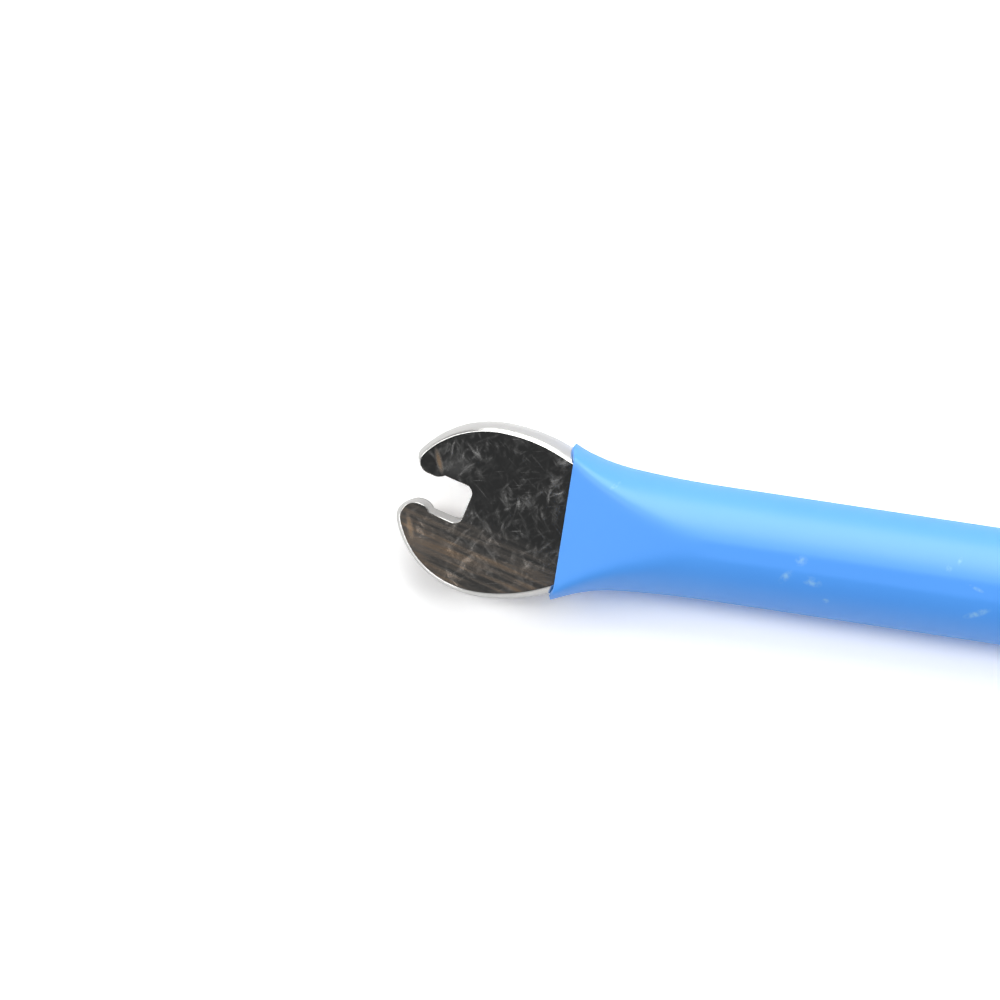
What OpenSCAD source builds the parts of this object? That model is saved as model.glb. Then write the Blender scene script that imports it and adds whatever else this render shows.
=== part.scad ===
// Spoke wrench with an open-jaw head and a soft sleeve for a grip. Millimetres.
//
// The origin is the middle of the nipple that the slot holds, halfway through the head.
// +Z is the spoke's direction, so the tool turns about Z in use. +X runs along the
// handle, and the slot opens towards -X, leaning to +Y.

/* [Slot] */

// Width across the slot's flats: a 3.3 mm nipple and its clearance
slot_w = 3.35; // [3:0.01:5.2]
// Angle between the slot's middle line and the handle
slot_angle = 15; // [0:0.5:30]
// Radius of the two corners at the bottom of the slot
slot_corner_r = 0.75; // [0.3:0.05:1]
// Gap between the lips, wide enough for the spoke
mouth_w = 2.56; // [2.1:0.01:3.2]
// Distance from the middle of the nipple to the crests of the lips
lip_reach = 1.95; // [1.6:0.05:2.6]
// Radius of the lips
lip_r = 1.3; // [0.8:0.05:1.8]
// Radius of the tip of the upper jaw, on the +Y side
upper_tip_r = 1.1; // [0.7:0.05:1.6]
// Radius of the tip of the lower jaw
lower_tip_r = 1.35; // [0.7:0.05:1.8]

/* [Head] */

// Width of the head at its widest
head_w = 14.7; // [11:0.05:18]
// Distance from the nipple to the head's widest place, along the handle
head_widest_x = 3.4; // [2:0.1:5]
// Radius of the head's sides from there to the jaws
head_nose_r = 8; // [7.4:0.1:10]
// Radius of the head's sides from there to the handle
head_side_r = 15.5; // [12:0.5:24]
// Thickness of the head at the nipple
head_t = 3.5; // [2.5:0.1:4.2]
// Lean of each face, in degrees, which makes the head thicker towards the handle
face_lean = 2.6; // [1:0.1:4]
// How far the bevel round each face comes in from the side
edge_w = 0.4; // [0.15:0.05:0.7]
// Slope of that bevel, in degrees from the face
edge_angle = 38; // [25:1:50]

/* [Shank] */

// Diameter of the bar inside the grip
shank_d = 8; // [6:0.1:9]
// Radius of the blend from the head to the bar
shank_blend_r = 31; // [20:0.5:40]
// Distance from the middle of the nipple to where the faces begin to rise to the bar
rise_start = 10.4; // [9.5:0.1:12]
// Distance from the middle of the nipple to where they would be level again
rise_end = 23; // [18:0.5:30]
// How far above the bar they would be there, so that they leave it before
rise_over = 0.2; // [0.1:0.05:0.5]
// Rounding of the bar's hidden end
shank_end_r = 1.2; // [0.4:0.1:2]
// Distance from the middle of the nipple to the handle's middle line, sideways
handle_offset = 0.56; // [0:0.02:1.5]

/* [Grip] */

// Length of the whole tool
overall_l = 112; // [90:1:150]
// Distance from the middle of the nipple to the grip's front edge, on the flat faces
grip_start = 9.9; // [8.5:0.1:11]
// How far the front edge comes forward at the grip's sides
grip_edge_bow = 0.3; // [0.1:0.05:0.6]
// Diameter of the straight part of the grip
grip_d = 9.62; // [9:0.02:12]
// Thickness of the grip over the head's flat faces
grip_face_wall = 0.5; // [0.3:0.05:1.2]
// Distance from the middle of the nipple to where the grip's flats would be level
grip_rise_end = 22; // [18:0.5:30]
// Depth of the narrow land that each flat goes on as, under and over the straight grip
grip_land = 0.05; // [0.02:0.01:0.2]
// Distance from the middle of the nipple to where the grip becomes straight
flare_end = 22.5; // [20:0.5:30]
// Length of the grip's gentle flare
flare_l = 7.5; // [5:0.25:10]
// Radius of the gentle flare
flare_r = 89; // [60:1:120]
// Radius of the steep flare at the front
flare_front_r = 17; // [14:0.5:26]
// Radius of the edge of the grip's closed end
grip_end_r = 3.4; // [1:0.1:4.4]
// Thickness of the grip beyond the end of the bar
grip_end_wall = 2; // [1:0.1:4]
// Clearance between the bar and the grip
fit_gap = 0.05; // [0.02:0.01:0.2]

/* [Hidden] */

$fn = 96;

steel = [0.62, 0.61, 0.60];
blue = [0.22, 0.53, 0.92];

// Half sizes, how far cuts run past what they cut, and how far an outline's arcs cross,
// so that each ends on the next at a clean corner and not at a bare touch.
head_r = head_w / 2;
shank_r = shank_d / 2;
grip_r = grip_d / 2;
mouth_r = mouth_w / 2;
cut = head_t / 4;
reach = head_w;
arc_lap = fit_gap / 10;

// Heights, above the handle's middle line, of the centres of the arcs that draw the bar.
// The nose and the side share their highest point, and the blend touches the side and
// the bar.
nose_y = head_r - head_nose_r;
side_y = head_r - head_side_r;
blend_y = shank_r + shank_blend_r;
side_to_blend = head_side_r + shank_blend_r;
blend_x = head_widest_x + sqrt(pow(side_to_blend, 2) - pow(blend_y - side_y, 2));

// Where the side ends and the blend begins, on an outline grown by gap.
function side_end_x(gap) =
    head_widest_x + (blend_x - head_widest_x) * (head_side_r + gap) / side_to_blend;

// A point of the part in the slot's own directions, which are out of the mouth and
// towards the upper jaw. The same sum also turns such a point back.
function in_slot(p) = [-p.x * cos(slot_angle) + p.y * sin(slot_angle),
                       p.x * sin(slot_angle) + p.y * cos(slot_angle)];

// Centres of the two nose arcs, seen in plan.
upper_nose = in_slot([head_widest_x, nose_y - handle_offset]);
lower_nose = in_slot([head_widest_x, -nose_y - handle_offset]);

// Centre of a jaw's tip. The tip touches the nose arc from inside and the side of the
// mouth from the jaw's side, which is 1 for the upper jaw and -1 for the lower one.
function tip_centre(nose, r, side) =
    let (y = side * (mouth_r + r))
    [nose.x + sqrt(pow(head_nose_r - r, 2) - pow(y - nose.y, 2)), y];
upper_tip = tip_centre(upper_nose, upper_tip_r, 1);
lower_tip = tip_centre(lower_nose, lower_tip_r, -1);

// The lower jaw's tip is the front of the tool.
front_x = in_slot(lower_tip).x - lower_tip_r;
end_x = front_x + overall_l;
bar_end_x = end_x - grip_end_wall;

// Height of a leaning face above the middle of the head, at a place along the handle.
function face_z(x) = head_t / 2 + x * tan(face_lean);

// The bevel lies on a barrel whose middle line runs under the face, parallel to it. There
// the barrel's radius is drawn by arcs that cut the face in the head's own outline.
edge_half = sqrt(pow(head_r, 2) - pow(face_z(head_widest_x), 2)) - edge_w;
edge_depth = edge_half / tan(edge_angle);
barrel_r = edge_half / sin(edge_angle);
barrel_nose_r = head_nose_r / sin(edge_angle);
barrel_side_r = head_side_r / sin(edge_angle);

// The gentle flare touches the straight part of the grip, and the steep flare goes on
// from the gentle one at flare_x.
flare_x = flare_end - flare_l;
flare_y = grip_r + flare_r - sqrt(pow(flare_r, 2) - pow(flare_l, 2));
steep_share = flare_front_r / flare_r;
steep_x = flare_x + flare_l * steep_share;
steep_y = flare_y + (grip_r + flare_r - flare_y) * steep_share;

// The front edge of the grip is an arc, seen from the side.
mouth_z = face_z(grip_start) + grip_face_wall;
mouth_edge_r = (pow(mouth_z, 2) + pow(grip_edge_bow, 2)) / (2 * grip_edge_bow);
mouth_x = grip_start - grip_edge_bow;

// Outlines are drawn with the handle's direction upwards and turned about that line.
module turned_on_handle() {
    translate([0, -handle_offset, 0]) rotate([90, 0, 90]) rotate_extrude() children();
}

// Half outline of a round bar of radius r, from start to an end rounded by edge.
module round_bar(r, edge, start, end) {
    translate([0, start]) square([r, end - edge - start]);
    translate([0, end - edge]) square([r - edge, edge]);
    intersection() {
        translate([r - edge, end - edge]) circle(r = edge);
        translate([r - edge, end - edge]) square([edge, edge]);
    }
}

// Half outline of the bar with its swollen head, before the faces are pressed flat.
module bar_outline(gap) {
    side_end = side_end_x(gap);
    intersection() {
        translate([nose_y, head_widest_x]) circle(r = head_nose_r + gap);
        translate([0, -reach]) square([reach, reach + side_end]);
    }
    difference() {
        union() {
            intersection() {
                translate([side_y, head_widest_x]) circle(r = head_side_r + gap - arc_lap);
                translate([0, head_widest_x]) square([reach, blend_x - head_widest_x]);
            }
            translate([0, side_end]) square([blend_y, blend_x - side_end]);
        }
        translate([blend_y, blend_x]) circle(r = shank_blend_r - gap + 2 * arc_lap);
    }
    round_bar(shank_r + gap, shank_end_r + gap, 0, bar_end_x + gap);
}

// Half outline of the grip's outside.
module grip_outline() {
    difference() {
        translate([0, mouth_x - cut]) square([steep_y, flare_x - mouth_x + cut]);
        translate([steep_y, steep_x]) circle(r = flare_front_r + 2 * arc_lap);
    }
    difference() {
        translate([0, flare_x - cut]) square([grip_r + flare_r, flare_l + cut]);
        translate([grip_r + flare_r, flare_end]) circle(r = flare_r + arc_lap);
    }
    round_bar(grip_r, grip_end_r, mouth_x - cut, end_x);
}

// The faces and their rise to the bar, seen from the side: they lean up to start, then
// follow one arc that would be level at end, at the height crest, and go no higher than top.
module between_faces(lift, start, end, crest, top) {
    near = front_x - cut;
    far = end_x + cut;
    edge = face_z(near) + lift;
    low = face_z(start) + lift;
    rise_r = (pow(end - start, 2) + pow(crest - low, 2)) / (2 * (crest - low));
    rotate([90, 0, 0]) linear_extrude(2 * reach, center = true)
        difference() {
            polygon([
                [near, -edge], [start, -low], [start, -top], [far, -top],
                [far, top], [start, top], [start, low], [near, edge]
            ]);
            for (side = [0, 1]) mirror([0, side]) difference() {
                translate([start, low]) square([end - start, top - low]);
                translate([end, crest - rise_r]) circle(r = rise_r);
            }
        }
}

// What the bevel round the upper face takes off, up to where the faces begin to rise.
module bevel_waste(gap) {
    mid = [head_widest_x, -handle_offset, face_z(head_widest_x)];
    far = rise_start - gap;
    difference() {
        translate([front_x - cut, -reach, 0]) cube([far - front_x + cut, 2 * reach, reach]);
        translate(mid) rotate([0, -face_lean, 0]) translate([0, 0, -edge_depth])
            rotate([90, 0, 90]) rotate_extrude() {
                intersection() {
                    translate([barrel_r - barrel_nose_r, 0]) circle(r = barrel_nose_r + gap);
                    translate([0, -reach]) square([barrel_r + reach, reach + head_t]);
                }
                intersection() {
                    translate([barrel_r - barrel_side_r, 0])
                        circle(r = barrel_side_r + gap - arc_lap);
                    square([barrel_r + reach, reach]);
                }
            }
    }
}

module pressed_bar(gap = 0) {
    difference() {
        intersection() {
            turned_on_handle() bar_outline(gap);
            let (crest = shank_r + rise_over + gap)
                between_faces(gap, rise_start, rise_end, crest, crest);
        }
        for (side = [0, 1]) mirror([0, 0, side]) bevel_waste(gap);
    }
}

// What lies beyond the tip of a jaw, from the mouth round to where the tip meets the nose.
module beyond_tip(tip, nose, r) {
    away = tip + (tip - nose) * reach / norm(tip - nose);
    difference() {
        polygon([[tip.x, 0], [away.x, 0], away, tip]);
        translate(tip) circle(r = r);
    }
}

// The slot in its own directions: a seat with two rounded corners, a lip on each jaw,
// the mouth between the lips, and the rounded tips.
module slot_outline() {
    half = slot_w / 2;
    inner = half - slot_corner_r;
    difference() {
        union() {
            translate([-inner, -half]) square([inner + lip_reach, slot_w]);
            translate([-half, -inner]) square([slot_corner_r, 2 * inner]);
            for (side = [-1, 1]) translate([-inner, side * inner]) circle(r = slot_corner_r);
        }
        for (side = [-1, 1]) translate([lip_reach, side * (mouth_r + lip_r)]) circle(r = lip_r);
    }
    translate([lip_reach, -mouth_r]) square([reach, mouth_w]);
    beyond_tip(upper_tip, upper_nose, upper_tip_r);
    beyond_tip(lower_tip, lower_nose, lower_tip_r);
}

module wrench_body() {
    color(steel)
        difference() {
            pressed_bar();
            linear_extrude(2 * reach, center = true)
                rotate(-slot_angle) mirror([1, 0]) slot_outline();
        }
}

// What is kept of the grip behind its arched front edge.
module behind_edge() {
    rotate([90, 0, 0]) linear_extrude(2 * reach, center = true) {
        translate([mouth_x + mouth_edge_r, 0]) circle(r = mouth_edge_r);
        translate([mouth_x + mouth_edge_r, -mouth_edge_r]) square([overall_l, 2 * mouth_edge_r]);
    }
}

module grip_sleeve() {
    color(blue)
        difference() {
            intersection() {
                turned_on_handle() grip_outline();
                between_faces(grip_face_wall, grip_start, grip_rise_end, grip_r, grip_r - grip_land);
                behind_edge();
            }
            pressed_bar(fit_gap);
        }
}

wrench_body();
grip_sleeve();
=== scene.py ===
# %% [markdown]
# # A spoke wrench, dressed for its picture
#
# The tool has two pieces. A bar was forged flat at one end into a head with a slot, then
# plated with nickel and chrome. A soft blue sleeve was dipped over the rest of the bar as
# a grip. The CAD parts are loaded first, because they say where everything is. Both pieces
# are then modelled again here, with the rolled edges and the finishes that the CAD leaves
# out.

import math
import bmesh
import bpy
from mathutils import Matrix, Vector


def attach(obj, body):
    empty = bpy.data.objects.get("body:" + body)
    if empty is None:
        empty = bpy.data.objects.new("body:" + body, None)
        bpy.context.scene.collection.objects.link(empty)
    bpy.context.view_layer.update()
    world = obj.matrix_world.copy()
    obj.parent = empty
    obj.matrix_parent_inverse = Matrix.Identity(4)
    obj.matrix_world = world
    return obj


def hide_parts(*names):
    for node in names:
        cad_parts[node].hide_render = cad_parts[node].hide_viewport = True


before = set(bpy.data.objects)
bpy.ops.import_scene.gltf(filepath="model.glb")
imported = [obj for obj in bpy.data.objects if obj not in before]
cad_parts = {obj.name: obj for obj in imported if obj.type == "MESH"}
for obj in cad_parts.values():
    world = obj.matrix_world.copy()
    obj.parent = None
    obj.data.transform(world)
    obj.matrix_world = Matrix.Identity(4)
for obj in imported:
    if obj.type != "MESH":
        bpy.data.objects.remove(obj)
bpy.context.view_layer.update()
scene = bpy.context.scene

# %% [markdown]
# ## The camera
#
# The picture was taken with a long lens, so it has almost no perspective, and from nearly
# straight above the head. The camera's three directions are written in the tool's own
# frame. 12 pixels of the picture are 1 mm of the tool, so a frame of 1000 pixels is
# 83.33 mm wide.

# %% Place the camera
MM = 0.001
AXIS_Y = -0.56          # the handle's middle line lies this far to one side of the nipple

TOWARDS_CAMERA = Vector((0.10, 0.135, 0.98583)).normalized()
ALONG = Vector((0.99499, -0.013568, -0.09908))
ACROSS = TOWARDS_CAMERA.cross(ALONG)
FALL_COS, FALL_SIN = 0.98879, 0.14933     # the handle falls by 8.6 degrees in the picture
RIGHT = (FALL_COS * ALONG + FALL_SIN * ACROSS).normalized()
UP = TOWARDS_CAMERA.cross(RIGHT)
LENS, SENSOR, PICTURE_WIDTH = 450, 36, 1000 / 12
AIM_X, AIM_RIGHT, AIM_UP = 0.43, 3.75, 0.329  # the picture's middle, from the handle's line
FARTHEST_SEEN = 50                        # metres

aim = Vector((AIM_X, AXIS_Y, 0)) + AIM_RIGHT * RIGHT + AIM_UP * UP
place = (aim + TOWARDS_CAMERA * PICTURE_WIDTH * LENS / SENSOR) * MM
camera_data = bpy.data.cameras.new("camera")
camera_data.lens, camera_data.sensor_width = LENS, SENSOR
camera_data.clip_end = FARTHEST_SEEN
camera = bpy.data.objects.new("camera", camera_data)
camera_turn = Matrix((RIGHT, UP, TOWARDS_CAMERA)).transposed().to_4x4()
camera.matrix_world = Matrix.Translation(place) @ camera_turn
scene.collection.objects.link(camera)
scene.camera = camera
print("camera stands at", [round(c, 3) for c in place])

# %% [markdown]
# ## Helpers for modelling
#
# Everything is modelled in edit mode, in millimetres, and made metres at the end. A
# selection by hand becomes a test on each vertex's place. An outline is drawn as a
# draughtsman does it, with a pen that goes along lines and round arcs: Extrude draws the
# lines and Spin draws the arcs.

# %% Helpers: start a piece, select, draw
def start_piece(name, at):
    """A mesh with one vertex, in edit mode: a plane merged to its middle."""
    bpy.ops.object.select_all(action="DESELECT")
    bpy.ops.mesh.primitive_plane_add(size=1, location=(0, 0, 0))
    piece = bpy.context.object
    piece.name = piece.data.name = name
    bpy.ops.object.mode_set(mode="EDIT")
    bpy.ops.mesh.select_all(action="SELECT")
    bpy.ops.mesh.merge(type="CENTER")
    bpy.ops.mesh.select_all(action="SELECT")
    bpy.ops.transform.translate(value=at)
    return piece


def pick(kind, test):
    """Select the verts, edges or faces of the piece being edited that pass a test."""
    mesh = bmesh.from_edit_mesh(bpy.context.object.data)
    bpy.ops.mesh.select_all(action="DESELECT")
    bpy.context.tool_settings.mesh_select_mode = [kind == k for k in ("verts", "edges", "faces")]
    picked = [item for item in getattr(mesh, kind) if test(item)]
    for item in picked:
        item.select_set(True)
    mesh.select_flush_mode()
    bmesh.update_edit_mesh(bpy.context.object.data)
    return len(picked)


def pen():
    """Where the pen is: the one selected vertex."""
    mesh = bmesh.from_edit_mesh(bpy.context.object.data)
    return next(v.co.copy() for v in mesh.verts if v.select)


def line_to(x, y):
    bpy.ops.mesh.extrude_region_move(
        TRANSFORM_OT_translate={"value": Vector((x, y, 0)) - pen()})


def arc_to(centre, x, y, steps):
    """The short way round centre, from the pen to the direction of the point x, y."""
    here, there = pen().xy - Vector(centre), Vector((x, y)) - Vector(centre)
    turn = here.angle_signed(there)          # Blender counts this one clockwise, as Spin does
    bpy.ops.mesh.spin(steps=steps, angle=turn, center=(*centre, 0), axis=(0, 0, 1))


def finish_piece(piece):
    """Make millimetres metres, and leave edit mode."""
    bpy.ops.mesh.select_all(action="SELECT")
    bpy.ops.transform.resize(value=(MM, MM, MM), center_override=(0, 0, 0))
    bpy.ops.object.mode_set(mode="OBJECT")
    print(piece.name, "has", len(piece.data.polygons), "faces")

# %% [markdown]
# ## The head's outline
#
# The head is flat, so it starts as its outline on a face. Going round it: a hollow blend
# from the bar, the side, the nose, a jaw's tip, the mouth, a lip, and the slot's seat. The
# nose and the side are drawn a little inside the widest outline, because the forged side
# is round and swells out below the face. All the arcs touch each other, so the points
# where one ends and the next begins come from the arcs' centres.

# %% Work out the centres of the arcs
SLOT_ANGLE = math.radians(15)
SEAT, MOUTH = 3.35 / 2, 2.56 / 2        # half widths of the slot and of its mouth
CORNER_R, LIP_R, LIP_X = 0.75, 1.3, 1.95
UPPER_TIP_R, LOWER_TIP_R = 1.1, 1.35
WIDEST_X, WIDEST_Y = 3.4, 7.105         # where the outline lies farthest from the handle's line
NOSE_R, SIDE_R, BLEND_R = 7.755, 13.95, 26.0
NOSE_Y, SIDE_Y = -0.65, WIDEST_Y - SIDE_R   # the arcs' centres, from the handle's middle line
SIDE_END_X = 9.18                       # the hollow blend begins here
NECK_X = 13.2                           # the flat part ends here, inside the sleeve


def slot_to_part(x, y):
    """A point given out of the mouth and towards the upper jaw, in the part's frame."""
    return (-x * math.cos(SLOT_ANGLE) + y * math.sin(SLOT_ANGLE),
            x * math.sin(SLOT_ANGLE) + y * math.cos(SLOT_ANGLE))


def tip_centre(tip_r, side):
    """The tip touches the nose from inside, and the wall of the mouth."""
    nose = slot_to_part(WIDEST_X, side * NOSE_Y + AXIS_Y)     # the turn is its own inverse
    y = side * (MOUTH + tip_r)
    return nose[0] + math.sqrt((NOSE_R - tip_r) ** 2 - (y - nose[1]) ** 2), y


tips = {1: (UPPER_TIP_R, tip_centre(UPPER_TIP_R, 1)),
        -1: (LOWER_TIP_R, tip_centre(LOWER_TIP_R, -1))}
side_end = (SIDE_END_X, SIDE_Y + math.sqrt(SIDE_R ** 2 - (SIDE_END_X - WIDEST_X) ** 2))
slope = Vector((SIDE_END_X - WIDEST_X, side_end[1] - SIDE_Y)).normalized()
blend = (side_end[0] + BLEND_R * slope.x, side_end[1] + BLEND_R * slope.y)
neck_y = blend[1] - math.sqrt(BLEND_R ** 2 - (blend[0] - NECK_X) ** 2)
print("tips at", {side: slot_to_part(*centre) for side, (_, centre) in tips.items()})

# %% Draw the outline with the pen
head = start_piece("plated_wrench_body", (NECK_X, AXIS_Y + neck_y, 0))


def outer_arcs(side, outwards):
    """The blend, the side, the nose and the jaw's tip on one side: centre, end and steps."""
    tip_r, centre = tips[side]
    centre = slot_to_part(*centre)
    nose = Vector((WIDEST_X, AXIS_Y + side * NOSE_Y))
    touch = nose + (Vector(centre) - nose).normalized() * NOSE_R
    mouth = slot_to_part(tips[side][1][0], side * MOUTH)
    # Each arc is kept with the end that lies nearer the handle
    arcs = [((blend[0], AXIS_Y + side * blend[1]), (NECK_X, AXIS_Y + side * neck_y), 9),
            ((WIDEST_X, AXIS_Y + side * SIDE_Y), (side_end[0], AXIS_Y + side * side_end[1]), 15),
            (tuple(nose), (WIDEST_X, AXIS_Y + side * (NOSE_Y + NOSE_R)), 24),
            (centre, tuple(touch), 14)]
    if outwards:
        ends = [begin for _, begin, _ in arcs[1:]] + [mouth]
        return [(c, end, steps) for (c, _, steps), end in zip(arcs, ends)]
    return list(reversed(arcs))


for centre, end, steps in outer_arcs(1, True):
    arc_to(centre, *end, steps)
lip_end = math.sqrt(LIP_R ** 2 - (MOUTH + LIP_R - SEAT) ** 2)
inner = SEAT - CORNER_R
SLOT_STEPS = 8
line_to(*slot_to_part(LIP_X, MOUTH))
arc_to(slot_to_part(LIP_X, MOUTH + LIP_R), *slot_to_part(LIP_X - lip_end, SEAT), SLOT_STEPS)
line_to(*slot_to_part(-inner, SEAT))
arc_to(slot_to_part(-inner, inner), *slot_to_part(-SEAT, inner), SLOT_STEPS)
line_to(*slot_to_part(-SEAT, -inner))
arc_to(slot_to_part(-inner, -inner), *slot_to_part(-inner, -SEAT), SLOT_STEPS)
line_to(*slot_to_part(LIP_X - lip_end, -SEAT))
arc_to(slot_to_part(LIP_X, -MOUTH - LIP_R), *slot_to_part(LIP_X, -MOUTH), SLOT_STEPS)
line_to(*slot_to_part(tips[-1][1][0], -MOUTH))
for centre, end, steps in outer_arcs(-1, False):
    arc_to(centre, *end, steps)
line_to(NECK_X, AXIS_Y + neck_y)
bpy.ops.mesh.select_all(action="SELECT")
bpy.ops.mesh.remove_doubles(threshold=0.02)
bpy.ops.mesh.select_all(action="SELECT")
bpy.ops.mesh.edge_face_add()
print("outline drawn with", len(bmesh.from_edit_mesh(head.data).verts), "points")

# %% [markdown]
# ## The head's thickness
#
# The upper half is made first and then mirrored. The outline is pulled up past the face,
# and the face is cut by a plane that leans up towards the handle by 2.6 degrees, as the
# forging die does.

# %% Pull the outline up and cut the leaning face
HALF_T, LEAN = 1.75, math.radians(2.6)    # half the thickness at the slot
PULLED_UP = 4


def face_z(x):
    return HALF_T + x * math.tan(LEAN)


bpy.ops.mesh.select_all(action="SELECT")
bpy.ops.mesh.extrude_region_move(TRANSFORM_OT_translate={"value": (0, 0, PULLED_UP)})
bpy.ops.mesh.select_all(action="SELECT")
bpy.ops.mesh.bisect(plane_co=(0, 0, HALF_T), plane_no=(-math.sin(LEAN), 0, math.cos(LEAN)),
                    use_fill=True, clear_outer=True)
bpy.ops.mesh.select_all(action="SELECT")
bpy.ops.mesh.normals_make_consistent(inside=False)
print("half head:", len(bmesh.from_edit_mesh(head.data).faces), "faces")

# %% [markdown]
# ## Rolled edges
#
# Polishing before plating rolled the outer edges over. They are narrow at the jaws and
# 0.48 mm wide near the grip, while the slot's edges stayed nearly sharp, because it was
# cut last. A Bevel modifier does both at once: it reads a weight from each edge. A profile
# below 0.5 keeps the rolled edge flatter than a quarter circle, so that most of its width
# leans by about 45 degrees and mirrors the bright floor and horizon.

# %% Weigh the edges of the face and bevel them
WIDEST_ROLL, SLOT_ROLL, ROLL_PROFILE = 0.48, 0.05, 0.32
ROLL_STATIONS = [(-5, 0.2), (-2, 0.22), (0.6, 0.34), (2.65, 0.42), (8.8, WIDEST_ROLL)]
NEAR = 0.01                             # places this close count as the same


def rolled_width(x):
    """Width of the rolled edge in millimetres, at a place along the handle."""
    for (x0, w0), (x1, w1) in zip(ROLL_STATIONS, ROLL_STATIONS[1:]):
        if x <= x1:
            return w0 + (w1 - w0) * max(0, x - x0) / (x1 - x0)
    return WIDEST_ROLL


def slot_place(co):
    """In the slot's own directions: out of the mouth, towards the upper jaw."""
    return Vector(slot_to_part(co.x, co.y))


ROLL_FADE_SHARE = 1.2                   # of a tip's radius, from the mouth's wall
BEHIND_SEAT_X = -2.2                    # in the slot's directions, only the outside lies here
mesh = bmesh.from_edit_mesh(head.data)
weights = mesh.edges.layers.float.new("bevel_weight_edge")
for edge in mesh.edges:
    middle = (edge.verts[0].co + edge.verts[1].co) / 2
    if any(abs(v.co.z - face_z(v.co.x)) > NEAR for v in edge.verts):
        continue
    if middle.x > NECK_X - NEAR:
        continue
    place = slot_place(middle)
    side = 1 if place.y > 0 else -1
    tip_r, (tip_x, tip_y) = tips[side]
    width = rolled_width(middle.x)
    past_tip = place.x > tip_x and abs(place.y) < abs(tip_y) + tip_r
    in_slot = abs(place.y) < abs(tip_y) and BEHIND_SEAT_X < place.x <= tip_x + 2 * NEAR
    if past_tip:                    # round the tip, the roll runs out towards the mouth
        out = min(1, max(0, (abs(place.y) - MOUTH) / (ROLL_FADE_SHARE * tip_r)))
        width = SLOT_ROLL + (width - SLOT_ROLL) * out
    elif in_slot:
        width = SLOT_ROLL
    edge[weights] = width / WIDEST_ROLL
bmesh.update_edit_mesh(head.data)
bpy.ops.object.mode_set(mode="OBJECT")
roll = head.modifiers.new("roll", "BEVEL")
roll.limit_method, roll.width = "WEIGHT", WIDEST_ROLL
roll.segments, roll.profile = 4, ROLL_PROFILE
bpy.ops.object.modifier_apply(modifier="roll")
print("rolled edges:", len(head.data.polygons), "faces")

# %% [markdown]
# ## Round sides
#
# The head was a round bar before the die pressed it, so its sides are round: they swell
# out by 0.25 to 0.5 mm at half the thickness. Two cuts at level heights give the side
# more loops. Each loop is then pushed out, a little at a time, by as much as the round bar
# lies outside the outline there. A push turns the normals beside it, and a cut leaves its
# vertices in no fixed order, so they are sorted first to give the same shape every time.

# %% Cut loops into the side and push them out
BAR_R, UPSET_R = 4.0, 7.35              # the bar, and where it was upset for the head
UPSET_SIDE_R, UPSET_BLEND_R = 15.5, 31
UPSET_SIDE_END_X, UPSET_END_X = 9.1767, 20.73
SIDE_CUTS, SIDE_TOP = (0.45, 0.9), 1.32     # heights: the rolled edge begins at the top one
STEADY_X = -2.5                         # the swell grows no more towards the jaws' tips


def half_width(x):
    """The round bar's radius at a place along it, before it was pressed."""
    if x < WIDEST_X:
        nose_r = UPSET_R - NOSE_Y
        return NOSE_Y + math.sqrt(max(0, nose_r ** 2 - (x - WIDEST_X) ** 2))
    if x < UPSET_SIDE_END_X:
        return UPSET_R - UPSET_SIDE_R + math.sqrt(UPSET_SIDE_R ** 2 - (x - WIDEST_X) ** 2)
    return BAR_R + UPSET_BLEND_R - math.sqrt(UPSET_BLEND_R ** 2 - (UPSET_END_X - x) ** 2)


def swell(x, z):
    """How far the round bar lies outside its own outline at the face."""
    w = half_width(x)
    return math.sqrt(w * w - z * z) - math.sqrt(w * w - face_z(x) ** 2)


def level_then_handle_first(vert):
    """Sorts vertices by their level, and on each level from the handle to the jaws."""
    return round(vert.co.z, 2), -round(vert.co.x, 3), vert.co.y


bpy.ops.object.mode_set(mode="EDIT")
for height in SIDE_CUTS:
    bpy.ops.mesh.select_all(action="SELECT")
    bpy.ops.mesh.bisect(plane_co=(0, 0, height), plane_no=(0, 0, 1))
mesh = bmesh.from_edit_mesh(head.data)
mesh.normal_update()
stations = {}
for vert in sorted(mesh.verts, key=level_then_handle_first):
    place = slot_place(vert.co)
    side = 1 if place.y > 0 else -1
    tip_r, (tip_x, tip_y) = tips[side]
    on_outside = abs(place.y) > abs(tip_y) or place.x < BEHIND_SEAT_X
    round_tip = place.x > tip_x and not on_outside
    on_side = vert.co.z < SIDE_TOP and vert.co.x < NECK_X - NEAR
    if on_side and (on_outside or round_tip):
        out = swell(max(vert.co.x, STEADY_X), vert.co.z)
        if round_tip:
            out *= min(1, max(0, (abs(place.y) - MOUTH) / tip_r))
        stations.setdefault((round(out, 3), round(vert.co.z, 2)), []).append(vert.index)
for (out, z), indices in stations.items():
    chosen = set(indices)
    pick("verts", lambda v: v.index in chosen)
    bpy.ops.transform.shrink_fatten(value=out)
print("side pushed out at", len(stations), "stations")

# %% Mirror the half to make the whole head
pick("faces", lambda f: all(abs(v.co.z) < NEAR for v in f.verts))
bpy.ops.mesh.delete(type="FACE")
bpy.ops.object.mode_set(mode="OBJECT")
mirror = head.modifiers.new("mirror", "MIRROR")
mirror.use_axis = (False, False, True)
mirror.use_clip, mirror.merge_threshold = True, 0.001
bpy.ops.object.modifier_apply(modifier="mirror")
bpy.ops.object.mode_set(mode="EDIT")
bpy.ops.mesh.select_all(action="SELECT")
bpy.ops.mesh.normals_make_consistent(inside=False)
zs = [v.co.z for v in bmesh.from_edit_mesh(head.data).verts]
print("head is", round(max(zs) - min(zs), 2), "mm thick at the neck")

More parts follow.
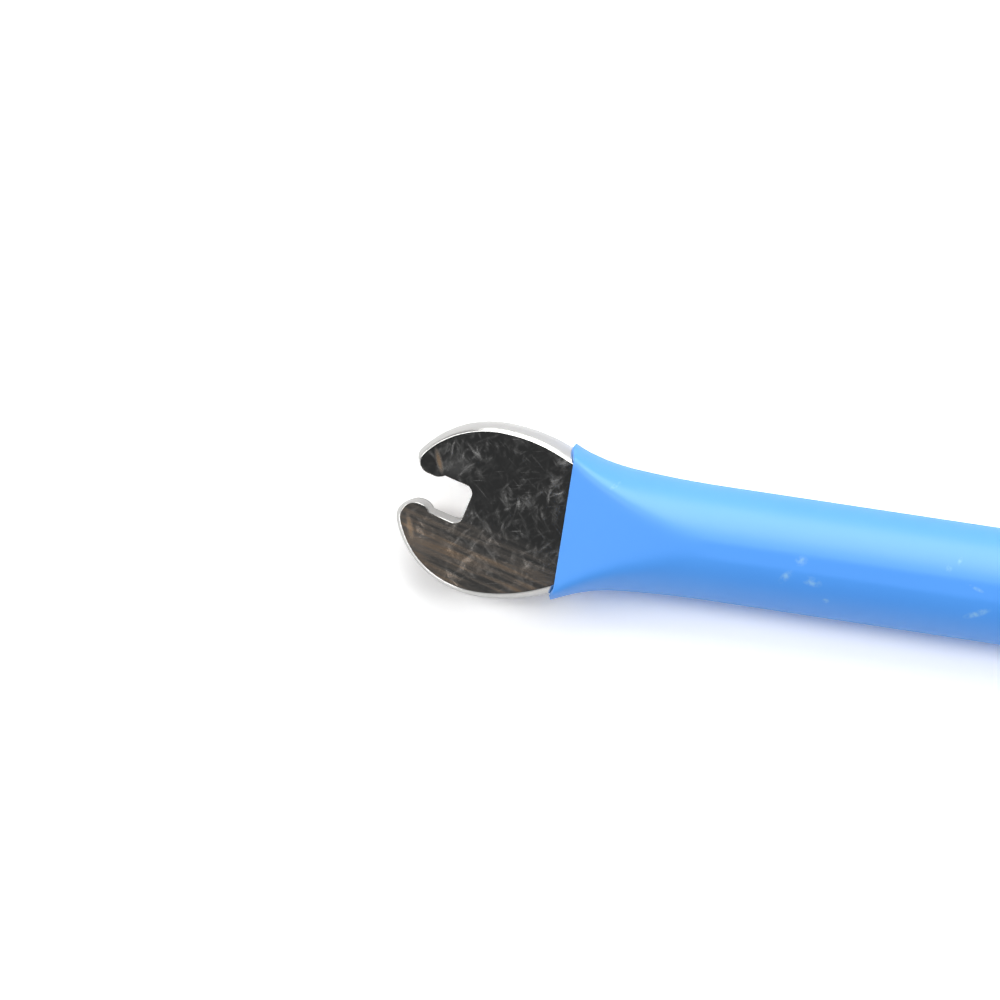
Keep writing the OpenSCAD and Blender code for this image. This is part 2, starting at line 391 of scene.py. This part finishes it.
# %% [markdown]
# ## The bar inside the sleeve
#
# Behind the head the forging goes back to a round bar. The sleeve hides it, but the bar is
# there, so the last face of the head is pulled along the handle in steps. First it grows
# taller, and from then on each section is made truly round by To Sphere, which works about
# the middle of the world, so the section is moved there and back.

# %% Pull the neck out into the round bar
def bar_ring(x, half_y, half_z):
    """Pull the last section along to x, scaled to the half sizes given."""
    bpy.ops.mesh.extrude_region_move(TRANSFORM_OT_translate={"value": (0, 0, 0)})
    mesh = bmesh.from_edit_mesh(head.data)
    ring = [v.co for v in mesh.verts if v.select]
    now_y = max(c.y for c in ring) - AXIS_Y
    now_z = max(c.z for c in ring)
    middle_x = sum(c.x for c in ring) / len(ring)
    bpy.ops.transform.resize(value=(0, half_y / now_y, half_z / now_z),
                             center_override=(middle_x, AXIS_Y, 0))
    bpy.ops.transform.translate(value=(x - middle_x, 0, 0))


OVAL_RING = (14.5, 3.5, 2.8)
ROUND = {16: 3.65, 18: 3.95, 20: BAR_R, 104.5: BAR_R, 105.3: 3.75, 105.7: 2.9}  # radius at x
SMOOTH_BELOW, FACE_WEIGHT = math.radians(35), 80
pick("faces", lambda f: all(v.co.x > NECK_X - NEAR for v in f.verts))
bar_ring(*OVAL_RING)
for x, radius in ROUND.items():
    bar_ring(x, radius, radius)
for x, radius in ROUND.items():                 # these sections are truly round
    pick("verts", lambda v: abs(v.co.x - x) < NEAR)
    bpy.ops.transform.translate(value=(-x, -AXIS_Y, 0))
    bpy.ops.transform.tosphere(value=1)
    bpy.ops.transform.translate(value=(x, AXIS_Y, 0))
    ring = [v.co for v in bmesh.from_edit_mesh(head.data).verts if v.select]
    now = max(math.hypot(c.y - AXIS_Y, c.z) for c in ring)
    bpy.ops.transform.resize(value=(1, radius / now, radius / now), center_override=(x, AXIS_Y, 0))
bpy.ops.mesh.select_all(action="SELECT")
bpy.ops.mesh.normals_make_consistent(inside=False)
finish_piece(head)
bpy.ops.object.shade_smooth_by_angle(angle=SMOOTH_BELOW)
weighted = head.modifiers.new("weighted normals", "WEIGHTED_NORMAL")
weighted.keep_sharp, weighted.weight = True, FACE_WEIGHT
bpy.ops.object.modifier_apply(modifier="weighted normals")

# %% [markdown]
# ## The sleeve
#
# The sleeve is a dipped skin of soft PVC. It flares to follow the head and ends there in an
# open mouth. Half of its outline is drawn with the pen and spun round the handle. Its top
# and bottom are then pressed flat, ring by ring, where the head under it is flat.

# %% Draw the sleeve's outline and spin it round the handle
GRIP_R, GRIP_END_R = 4.81, 3.4
MOUTH_X, FLARE_X, FLARE_END, END_X = 9.6, 15.0, 22.5, 107.72
GENTLE_R, STEEP_R = 89.0, 17.0
gentle = (FLARE_END, GRIP_R + GENTLE_R)
flare_y = gentle[1] - math.sqrt(GENTLE_R ** 2 - (FLARE_END - FLARE_X) ** 2)
share = STEEP_R / GENTLE_R
steep = (FLARE_X + (FLARE_END - FLARE_X) * share, flare_y + (gentle[1] - flare_y) * share)
mouth_y = steep[1] - math.sqrt(STEEP_R ** 2 - (steep[0] - MOUTH_X) ** 2)

FLARE_STEPS, END_STEPS, ROUND_STEPS = 18, 12, 128
sleeve = start_piece("dipped_grip_sleeve", (MOUTH_X, AXIS_Y + mouth_y, 0))
arc_to((steep[0], AXIS_Y + steep[1]), FLARE_X, AXIS_Y + flare_y, FLARE_STEPS)
arc_to((gentle[0], AXIS_Y + gentle[1]), FLARE_END, AXIS_Y + GRIP_R, FLARE_STEPS)
end_start = END_X - GRIP_END_R
end_centre_y = AXIS_Y + GRIP_R - GRIP_END_R
for x in (35, 50, 65, 80, 95, end_start):       # rings along the straight grip
    line_to(x, AXIS_Y + GRIP_R)
arc_to((end_start, end_centre_y), END_X, end_centre_y, END_STEPS)
line_to(END_X, AXIS_Y)
bpy.ops.mesh.select_all(action="SELECT")
bpy.ops.mesh.spin(steps=ROUND_STEPS, angle=math.tau, center=(0, AXIS_Y, 0), axis=(1, 0, 0))
bpy.ops.mesh.select_all(action="SELECT")
bpy.ops.mesh.remove_doubles(threshold=0.01)
bpy.ops.mesh.select_all(action="SELECT")
bpy.ops.mesh.normals_make_consistent(inside=False)
print("sleeve spun:", len(bmesh.from_edit_mesh(sleeve.data).faces), "faces")

# %% [markdown]
# The flats lean with the head's faces, then rise on one arc until they are only a narrow
# land under and over the grip. Scaling the vertices above a flat by nothing in Z lays them
# all on it. A little smoothing rounds the creases, because a dipped skin has none that are
# sharp.

# %% Press the flats
WALL, LAND_Z, RISE_START, RISE_END = 0.5, 4.76, 9.9, 22.0
SAME_RING = 0.002
CREASED_ABOVE_Z, SMOOTH_STRENGTH, SMOOTH_ROUNDS = 1.2, 0.5, 14
rise_low = face_z(RISE_START) + WALL
rise_r = ((RISE_END - RISE_START) ** 2 + (GRIP_R - rise_low) ** 2) / (2 * (GRIP_R - rise_low))


def flat_z(x):
    """Height of the sleeve's flats, at a place along the handle."""
    if x < RISE_START:
        return face_z(x) + WALL
    if x < RISE_END:
        return min(LAND_Z, GRIP_R - rise_r + math.sqrt(rise_r ** 2 - (RISE_END - x) ** 2))
    return LAND_Z


def on_ring(vert, x):
    return abs(vert.co.x - x) < SAME_RING


rings = sorted({round(v.co.x, 3) for v in bmesh.from_edit_mesh(sleeve.data).verts})
for x in rings:
    for side in (1, -1):
        level = flat_z(x)
        if pick("verts", lambda v: on_ring(v, x) and side * v.co.z > level):
            bpy.ops.transform.resize(value=(1, 1, 0), center_override=(x, AXIS_Y, side * level))
pick("verts", lambda v: v.co.x < RISE_END and abs(v.co.z) > CREASED_ABOVE_Z)
bpy.ops.mesh.vertices_smooth(factor=SMOOTH_STRENGTH, repeat=SMOOTH_ROUNDS, xaxis=False)
print("flats pressed on", len(rings), "rings")

# %% [markdown]
# The mouth is not a plain cut. The sleeve is a little fuller on the lower side, the mouth's
# edge lies further back on the faces than at the sides, and the whole mouth leans. Each
# ring near it is moved by a share of the change, which runs out along the flare.

# %% Arch the mouth
FULLER_RINGS, FULLER_LENGTH = 14, 5
FULLER_SHIFT, FULLER_GROWTH = -0.11, 0.018
for x in rings[:FULLER_RINGS]:
    part = (1 - (x - MOUTH_X) / FULLER_LENGTH) ** 2
    pick("verts", lambda v: on_ring(v, x))
    bpy.ops.transform.translate(value=(0, FULLER_SHIFT * part, 0))
    bpy.ops.transform.resize(value=(1, 1 + FULLER_GROWTH * part, 1),
                             center_override=(x, AXIS_Y, 0))

BOW, MOUTH_TURN, SAME_HEIGHT = 0.3, math.radians(1.2), 0.0006
BOW_SHARES = (1.0, 0.65, 0.35, 0.15)            # on the mouth's ring and the next three
for x, part in reversed(list(zip(rings, BOW_SHARES))):
    heights = sorted({round(abs(v.co.z), 3) for v in bmesh.from_edit_mesh(sleeve.data).verts
                      if on_ring(v, x)})
    moved = set()
    for z in heights:
        pick("verts", lambda v: v.index not in moved and on_ring(v, x)
             and abs(abs(v.co.z) - z) < SAME_HEIGHT)
        moved |= {v.index for v in bmesh.from_edit_mesh(sleeve.data).verts if v.select}
        bow = part * BOW * (z / flat_z(MOUTH_X)) ** 2
        bpy.ops.transform.translate(value=(bow, 0, 0))
    pick("verts", lambda v: v.index in moved)
    bpy.ops.transform.rotate(value=MOUTH_TURN * part, orient_axis="Z",
                             center_override=(x, AXIS_Y, 0))
print("mouth arched by", BOW, "mm")

# %% Give the skin its thickness and round its lip
SKIN, LIP_ROUND = 0.46, 0.06
LOOKS_OUT, LIP_DEPTH = -0.75, 0.7
SKIN_SMOOTH_BELOW = math.radians(60)


def looks_out(face):
    """A face of the lip looks along the handle, out of the mouth."""
    return face.normal.x < LOOKS_OUT and face.calc_center_median().x < MOUTH_X + LIP_DEPTH


def on_lip(edge):
    """An edge where the lip turns into the skin's outside or inside."""
    return len({looks_out(face) for face in edge.link_faces}) == 2


bpy.ops.object.mode_set(mode="OBJECT")
skin = sleeve.modifiers.new("skin", "SOLIDIFY")
skin.thickness, skin.offset = SKIN, -1
bpy.ops.object.modifier_apply(modifier="skin")
bpy.ops.object.mode_set(mode="EDIT")
print("lip edges:", pick("edges", on_lip))
bpy.ops.mesh.bevel(offset=LIP_ROUND, segments=2, profile=0.5, affect="EDGES")
finish_piece(sleeve)
bpy.ops.object.shade_smooth_by_angle(angle=SKIN_SMOOTH_BELOW)

# %% [markdown]
# ## Helpers for materials
#
# A colour is written as a hex value, as picked from a picture, and turned to the linear
# values that Blender computes with. A pattern's scale is worked out from the size that
# its spots or lines have in millimetres.

# %% Helpers: colour, pattern scale, node
def linear(hex_colour):
    values = [int(hex_colour[i:i + 2], 16) / 255 for i in (1, 3, 5)]
    return [v / 12.92 if v <= 0.04045 else ((v + 0.055) / 1.055) ** 2.4 for v in values] + [1]


def every_mm(size):
    """Scale at which a pattern on Object coordinates repeats about every size millimetres."""
    return 1000 / size


def add_node(tree, kind, settings=(), links=()):
    """Add a node. Settings are its properties or socket values, links feed its sockets."""
    node = tree.nodes.new(kind)
    for key, value in dict(settings).items():
        if isinstance(key, str) and hasattr(node, key):
            setattr(node, key, value)
        else:
            node.inputs[key].default_value = value
    for key, socket in dict(links).items():
        tree.links.new(socket, node.inputs[key])
    return node


def new_material(name):
    material = bpy.data.materials.new(name)
    material.use_nodes = True
    material.node_tree.nodes.clear()
    return material, material.node_tree

# %% [markdown]
# ## Nickel-chrome plate
#
# The plate is a mirror, so most of its look is what it reflects: the dark room overhead on
# the faces, and the bright lamps and floor on the rolled edges. Handling has left greasy
# smears on the flat faces only, because the edges are wiped clean in the hand. A smear
# scatters light, so it is a little less metallic and a little rougher than the plate. Its
# strokes are a noise pattern stretched along one direction. Three such patterns at three
# angles, kept to patches, look like wiping to and fro.

# %% Find the flat faces
FLAT_FROM, FLAT_FULL = 0.93, 0.99           # how far a face's normal points straight up or down
plate, tree = new_material("nickel_chrome_plate_scuffed")
place = add_node(tree, "ShaderNodeTexCoord").outputs["Object"]
normal = add_node(tree, "ShaderNodeNewGeometry").outputs["Normal"]
facing = add_node(tree, "ShaderNodeSeparateXYZ", {}, {0: normal})
upright = add_node(tree, "ShaderNodeMath", {"operation": "ABSOLUTE"}, {0: facing.outputs["Z"]})
flat = add_node(tree, "ShaderNodeMapRange", {"From Min": FLAT_FROM, "From Max": FLAT_FULL},
                {"Value": upright.outputs[0]})
print("flat faces lean by less than", round(math.degrees(math.acos(FLAT_FULL)), 1), "degrees")

# %% Smears: strokes at three angles, in patches, on the flat faces
STROKES_APART = 2.5             # in widths of a stroke


def strokes(angle, width_mm, stretch, low, high, wander=0.6):
    """Soft strokes along one direction, about width_mm wide: 1 on a stroke and 0 beside it."""
    turned = add_node(tree, "ShaderNodeMapping",
                      {"vector_type": "TEXTURE", "Rotation": (0, 0, math.radians(angle)),
                       "Scale": (stretch, 1, 1)}, {"Vector": place})
    noise = add_node(tree, "ShaderNodeTexNoise",
                     {"Scale": every_mm(width_mm * STROKES_APART), "Detail": 2,
                      "Roughness": 0.5, "Distortion": wander}, {"Vector": turned.outputs[0]})
    stroke = add_node(tree, "ShaderNodeMapRange", {"From Min": low, "From Max": high},
                      {"Value": noise.outputs["Fac"]})
    return stroke.outputs[0]


def together(operation, patterns):
    """Several patterns made one: MAXIMUM keeps the strongest, MULTIPLY what they share."""
    joined = patterns[0]
    for pattern in patterns[1:]:
        joint = add_node(tree, "ShaderNodeMath", {"operation": operation}, {0: joined, 1: pattern})
        joined = joint.outputs[0]
    return joined


wiped = together("MAXIMUM", [strokes(42, 0.2, 2.6, 0.53, 0.76),
                             strokes(-48, 0.22, 3, 0.53, 0.76),
                             strokes(88, 0.2, 2.4, 0.55, 0.78)])
patch_noise = add_node(tree, "ShaderNodeTexNoise",
                       {"Scale": every_mm(2.6), "Detail": 4, "Roughness": 0.65}, {"Vector": place})
patches = add_node(tree, "ShaderNodeMapRange", {"From Min": 0.42, "From Max": 0.66, "To Min": 0.1},
                   {"Value": patch_noise.outputs["Fac"]})
smears = together("MULTIPLY", [wiped, patches.outputs[0], flat.outputs[0]])
fine_lines = together("ADD", [strokes(12, 0.04, 40, 0.66, 0.74, 0),
                              strokes(-42, 0.035, 40, 0.67, 0.75, 0)])
hairs = together("MULTIPLY", [fine_lines, flat.outputs[0]])
print("smears and hairs take", len(tree.nodes), "nodes")

# %% [markdown]
# The lower part of the face has a painted brown reflection, laid into the plate's colour
# where the face mirrors something brown. It is drawn out in the direction in which the face
# was polished, so its noise is stretched along that line, and it is stronger towards the
# handle. Two patches of grease and two small tan stains lie near the jaws' tips. Each is an
# ellipse with a soft edge, put in its place by a Mapping node.

# %% Painted brown reflection, grease and stains
REFLECTION_SLANT = 0.3                # the painted reflection's edge falls towards the jaws
REFLECTION_START, REFLECTION_FULL = -0.2 * MM, -3.6 * MM
streaks = strokes(-15, 0.14, 22, 0.36, 0.64, 0)
split = add_node(tree, "ShaderNodeSeparateXYZ", {}, {0: place})
slant = add_node(tree, "ShaderNodeMath", {"operation": "MULTIPLY_ADD", 1: REFLECTION_SLANT},
                 {0: split.outputs["X"], 2: split.outputs["Y"]})
low_side = add_node(tree, "ShaderNodeMapRange", {"From Min": REFLECTION_START, "From Max": REFLECTION_FULL},
                    {"Value": slant.outputs[0]})
streaked = add_node(tree, "ShaderNodeMapRange", {"To Min": 0.15, "To Max": 1}, {"Value": streaks})
# painted brown reflection: a streaked brown tint over the lower part of the face
brown_reflection = together("MULTIPLY", [low_side.outputs[0], streaked.outputs[0], flat.outputs[0]])

STAIN_DEPTH, STAIN_CORE_SHARE = 20, 0.35    # a stain goes through the piece, to the other face


def stain(x, y, length, width, angle):
    """A mark with a soft edge: its middle and its half sizes are in millimetres."""
    centred = add_node(tree, "ShaderNodeMapping",
                       {"vector_type": "TEXTURE", "Location": (x * MM, y * MM, 0),
                        "Rotation": (0, 0, math.radians(angle)),
                        "Scale": (length * MM, width * MM, STAIN_DEPTH * MM)}, {"Vector": place})
    away = add_node(tree, "ShaderNodeVectorMath", {"operation": "LENGTH"}, {0: centred.outputs[0]})
    mark = add_node(tree, "ShaderNodeMapRange", {"From Min": 1.0, "From Max": STAIN_CORE_SHARE},
                    {"Value": away.outputs["Value"]})
    return mark.outputs[0]


both_greased = together("MAXIMUM", [stain(0.3, 2.9, 1.7, 1.2, 20), stain(-2.2, -3.9, 2.0, 1.2, -40)])
both_stained = together("MAXIMUM", [stain(-1.2, 3.05, 1.3, 0.3, 112),
                                    stain(-2.9, -2.75, 1.3, 0.32, 108)])
grease = together("MULTIPLY", [both_greased, flat.outputs[0]])
stains = together("MULTIPLY", [both_stained, flat.outputs[0]])
print("with the haze and stains:", len(tree.nodes), "nodes")

# %% [markdown]
# A clean plate is all metal. Each mark lets a little of the dull film on it show, so it
# takes its share from Metallic, and the painted brown reflection takes a share too. Smears
# and the painted reflection add to the roughness. The faces are polished finest, and the
# rolled edges and sides less so, so they are rougher.

# %% Make the metal from its marks
CLEAN_METAL = 0.996
FACE_ROUGHNESS, SIDE_ROUGHNESS = 0.07, 0.24
film = add_node(tree, "ShaderNodeMath", {"operation": "MULTIPLY_ADD", 1: -0.13, 2: CLEAN_METAL},
                {0: smears})
for mark, dulls in ((hairs, 0.10), (brown_reflection, 0.18), (grease, 0.045), (stains, 0.28)):
    film = add_node(tree, "ShaderNodeMath", {"operation": "MULTIPLY_ADD", 1: -dulls},
                    {0: mark, 2: film.outputs[0]})
dull = add_node(tree, "ShaderNodeMapRange", {"To Min": SIDE_ROUGHNESS, "To Max": FACE_ROUGHNESS},
                {"Value": flat.outputs[0]})
for mark, roughens in ((smears, 0.25), (brown_reflection, 0.1)):
    dull = add_node(tree, "ShaderNodeMath", {"operation": "MULTIPLY_ADD", 1: roughens},
                    {0: mark, 2: dull.outputs[0]})

CHROME, REFLECTED_BROWN, TAN = "#D6D5D3", "#C3AB94", "#BEA58C"
# the brown mixed in here is a painted reflection, not the plate's own colour
brown = add_node(tree, "ShaderNodeMix",
                 {"data_type": "RGBA", 6: linear(CHROME), 7: linear(REFLECTED_BROWN)}, {0: brown_reflection})
tint = add_node(tree, "ShaderNodeMix", {"data_type": "RGBA", 7: linear(TAN)},
                {0: stains, 6: brown.outputs[2]})
relief = add_node(tree, "ShaderNodeBump", {"Strength": 0.1, "Distance": 0.02 * MM},
                  {"Height": streaks})
metal = add_node(tree, "ShaderNodeBsdfPrincipled", {},
                 {"Metallic": film.outputs[0], "Base Color": tint.outputs[2],
                  "Roughness": dull.outputs[0], "Normal": relief.outputs[0]})
add_node(tree, "ShaderNodeOutputMaterial", {}, {"Surface": metal.outputs[0]})
print("plate has", len(tree.nodes), "nodes")

# %% [markdown]
# ## Dipped PVC
#
# Soft PVC grips are made by dipping the hot bar in liquid vinyl, which cures to a smooth,
# satin skin. The gloss is even and a little soft, and the blue varies slightly where the
# skin is thicker. Handling leaves a few pale scuffs. Each is placed as a soft ellipse, and
# a fine noise breaks it up, because a scuff is many short scratches.

# %% Scuffs on the vinyl
vinyl, tree = new_material("dipped_pvc_satin_blue")
place = add_node(tree, "ShaderNodeTexCoord").outputs["Object"]
# Middle x and y, half length, half width, angle
SCUFFS = ((30.1, -0.3, 0.65, 0.5, 20), (29.0, -1.8, 0.9, 0.4, 50), (31.2, -1.9, 1.0, 0.5, -10),
          (32.5, -3.4, 0.35, 0.25, 0), (42.3, 0.9, 0.4, 0.3, 80), (43.1, 1.6, 0.4, 0.2, 80),
          (44.8, -0.4, 0.8, 0.2, -20), (45.1, -2.5, 1.4, 0.35, 25), (13.8, 3.4, 0.6, 0.2, 40),
          (53.0, -2.2, 0.7, 0.3, 15), (58.4, 1.5, 0.5, 0.35, 60), (66.0, -0.9, 1.1, 0.3, -25),
          (67.2, -1.8, 0.5, 0.4, 30), (79.5, 2.1, 0.8, 0.25, 70), (88.0, -1.2, 0.9, 0.4, -10),
          (98.5, 0.8, 0.6, 0.3, 40))
rubbed = add_node(tree, "ShaderNodeTexNoise",
                  {"Scale": every_mm(0.5), "Detail": 3, "Roughness": 0.6}, {"Vector": place})
broken = add_node(tree, "ShaderNodeMapRange", {"From Min": 0.38, "From Max": 0.62},
                  {"Value": rubbed.outputs["Fac"]})
rubs = together("MAXIMUM", [stain(*scuff) for scuff in SCUFFS])
scuffs = together("MULTIPLY", [rubs, broken.outputs[0]])
print("scuffs:", len(SCUFFS))

# %% Make the PVC
THICK_BLUE, THIN_BLUE, SCUFFED_BLUE = "#509EFB", "#56A5FF", "#8AC4FC"
cloud = add_node(tree, "ShaderNodeTexNoise", {"Scale": every_mm(14), "Detail": 2},
                 {"Vector": place})
blue = add_node(tree, "ShaderNodeMix",
                {"data_type": "RGBA", 6: linear(THICK_BLUE), 7: linear(THIN_BLUE)},
                {0: cloud.outputs["Fac"]})
worn_blue = add_node(tree, "ShaderNodeMix", {"data_type": "RGBA", 7: linear(SCUFFED_BLUE)},
                     {0: scuffs, 6: blue.outputs[2]})
satin = add_node(tree, "ShaderNodeMapRange", {"To Min": 0.42, "To Max": 0.6}, {"Value": scuffs})
grain = add_node(tree, "ShaderNodeTexNoise", {"Scale": every_mm(0.35), "Detail": 3},
                 {"Vector": place})
wave = add_node(tree, "ShaderNodeBump", {"Strength": 0.08, "Distance": 0.03 * MM},
                {"Height": grain.outputs["Fac"]})
skin_look = add_node(tree, "ShaderNodeBsdfPrincipled", {"IOR": 1.62},
                     {"Base Color": worn_blue.outputs[2], "Roughness": satin.outputs[0],
                      "Normal": wave.outputs[0]})
add_node(tree, "ShaderNodeOutputMaterial", {}, {"Surface": skin_look.outputs[0]})
print("vinyl has", len(tree.nodes), "nodes")

# %% [markdown]
# ## The floor
#
# The tool lies on matt white paper. To the camera and in the plate's mirror the paper is
# made a little whiter than it is as a source of light for the tool, so the ground is white
# and the shadow stays. Away from the tool it turns to plain white for the camera, because
# the lamps light it less there.

# %% Lay the floor
FLOOR_SIZE = 12                 # metres
HANDLE_MIDDLE = 52 * MM
WHITE_FROM, WHITE_BEYOND = 0.12, 0.35       # metres from the handle's middle
PAPER, PAPER_IN_MIRROR, PAPER_TO_CAMERA = 0.85, 0.92, 1.5
bpy.ops.object.select_all(action="DESELECT")
bpy.ops.mesh.primitive_plane_add(size=FLOOR_SIZE, location=(0, 0, -LAND_Z * MM))
floor = bpy.context.object
floor.name = "paper_floor"


def grey(level):
    return (level, level, level, 1)


paper, tree = new_material("matt_white_paper")
seen = add_node(tree, "ShaderNodeLightPath")
mirrored_white = add_node(tree, "ShaderNodeMix",
                          {"data_type": "RGBA", 6: grey(PAPER), 7: grey(PAPER_IN_MIRROR)},
                          {0: seen.outputs["Is Glossy Ray"]})
paper_white = add_node(tree, "ShaderNodeMix", {"data_type": "RGBA", 7: grey(PAPER_TO_CAMERA)},
                       {0: seen.outputs["Is Camera Ray"], 6: mirrored_white.outputs[2]})
for mix in (mirrored_white, paper_white):
    mix.clamp_result = False
matt = add_node(tree, "ShaderNodeBsdfDiffuse", {}, {"Color": paper_white.outputs[2]})

floor_place = add_node(tree, "ShaderNodeTexCoord").outputs["Object"]
from_tool = add_node(tree, "ShaderNodeVectorMath",
                     {"operation": "DISTANCE", 1: (HANDLE_MIDDLE, 0, 0)}, {0: floor_place})
far = add_node(tree, "ShaderNodeMapRange", {"From Min": WHITE_FROM, "From Max": WHITE_BEYOND},
               {"Value": from_tool.outputs["Value"]})
far_seen = together("MULTIPLY", [far.outputs[0], seen.outputs["Is Camera Ray"]])
plain_white = add_node(tree, "ShaderNodeEmission", {"Color": grey(1), "Strength": 1.0})
ground = add_node(tree, "ShaderNodeMixShader", {},
                  {0: far_seen, 1: matt.outputs[0], 2: plain_white.outputs[0]})
add_node(tree, "ShaderNodeOutputMaterial", {}, {"Surface": ground.outputs[0]})
floor.data.materials.append(paper)
print("floor lies at", -LAND_Z, "mm")

# %% [markdown]
# ## The lamps and the room
#
# A wide soft lamp stands on the side that the mouth leans to. It makes the pale band along
# the top of the grip. A lamp beyond each end fills the light in from above, and two low ones
# lift the grip's lower side. None of them stands where the faces of the head would mirror
# it, and the room overhead is dark, which is what blackens the faces. Only a low white band
# goes round the horizon, for the rolled edges.

# %% Hang the lamps
LAMP_AIM = Vector((0.03, 0, 0))             # a point on the handle near the head, in metres


def hang_lamp(name, towards, distance, across, width, height, radiance):
    """A soft lamp that faces the tool: width lies along across, radiance 1 shows as white."""
    facing = Vector(towards).normalized()
    wide = (Vector(across) - facing * facing.dot(Vector(across))).normalized()
    data = bpy.data.lights.new(name, "AREA")
    data.shape, data.size, data.size_y = "RECTANGLE", width, height
    data.energy = radiance * math.pi * width * height
    lamp = bpy.data.objects.new(name, data)
    turn = Matrix((wide, facing.cross(wide), facing)).transposed().to_4x4()
    lamp.matrix_world = Matrix.Translation(LAMP_AIM + facing * distance) @ turn
    lamp.visible_camera = False
    scene.collection.objects.link(lamp)
    print(name, "gives", round(data.energy, 1), "W")


side_tilt = math.radians(58.5)              # from straight overhead
hang_lamp("side_lamp", (0, math.sin(side_tilt), math.cos(side_tilt)), distance=1.0,
          across=(1, 0, 0), width=0.6, height=1.12, radiance=4.65)
for end, name in ((1, "grip"), (-1, "head")):
    hang_lamp(name + "_end_lamp", (end * 0.62, 0.22, 0.75), distance=1.0,
              across=(0, 1, 0), width=0.26, height=0.9, radiance=5.2)
    hang_lamp("low_" + name + "_lamp", (end * 0.8, -0.6, 0.065), distance=1.5,
              across=(0.6, end * 0.8, 0), width=2.0, height=0.2, radiance=4.5)

# %% Set the room
HORIZON_TOP, DARK_FROM = 0.12, 0.42         # heights on a sphere of radius 1
WHITE_BAND, DARK_ROOM = grey(0.75), (0.036, 0.037, 0.038, 1)
room = bpy.data.worlds.new("dark_room_white_horizon")
scene.world = room
room.use_nodes = True
tree = room.node_tree
tree.nodes.clear()
way = add_node(tree, "ShaderNodeTexCoord").outputs["Generated"]
rise = add_node(tree, "ShaderNodeSeparateXYZ", {}, {0: way})
dark = add_node(tree, "ShaderNodeMapRange", {"From Min": HORIZON_TOP, "From Max": DARK_FROM},
                {"Value": rise.outputs["Z"]})
walls = add_node(tree, "ShaderNodeMix", {"data_type": "RGBA", 6: WHITE_BAND, 7: DARK_ROOM},
                 {0: dark.outputs[0]})
seen = add_node(tree, "ShaderNodeLightPath")
backdrop = add_node(tree, "ShaderNodeMix", {"data_type": "RGBA", 7: grey(1)},
                    {0: seen.outputs["Is Camera Ray"], 6: walls.outputs[2]})
glow = add_node(tree, "ShaderNodeBackground", {"Strength": 1.0}, {"Color": backdrop.outputs[2]})
add_node(tree, "ShaderNodeOutputWorld", {}, {"Surface": glow.outputs[0]})
scene.view_settings.view_transform = "Standard"
print("room has", len(tree.nodes), "nodes")

# %% [markdown]
# ## Hand the pieces over
#
# Each piece takes its finish, stands for its CAD node and rides on the tool's one body.

# %% Finish
for piece, node, finish in ((head, "wrench_body", plate), (sleeve, "grip_sleeve", vinyl)):
    piece.data.materials.clear()
    piece.data.materials.append(finish)
    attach(piece, "root")
    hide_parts(node)
bpy.context.view_layer.update()
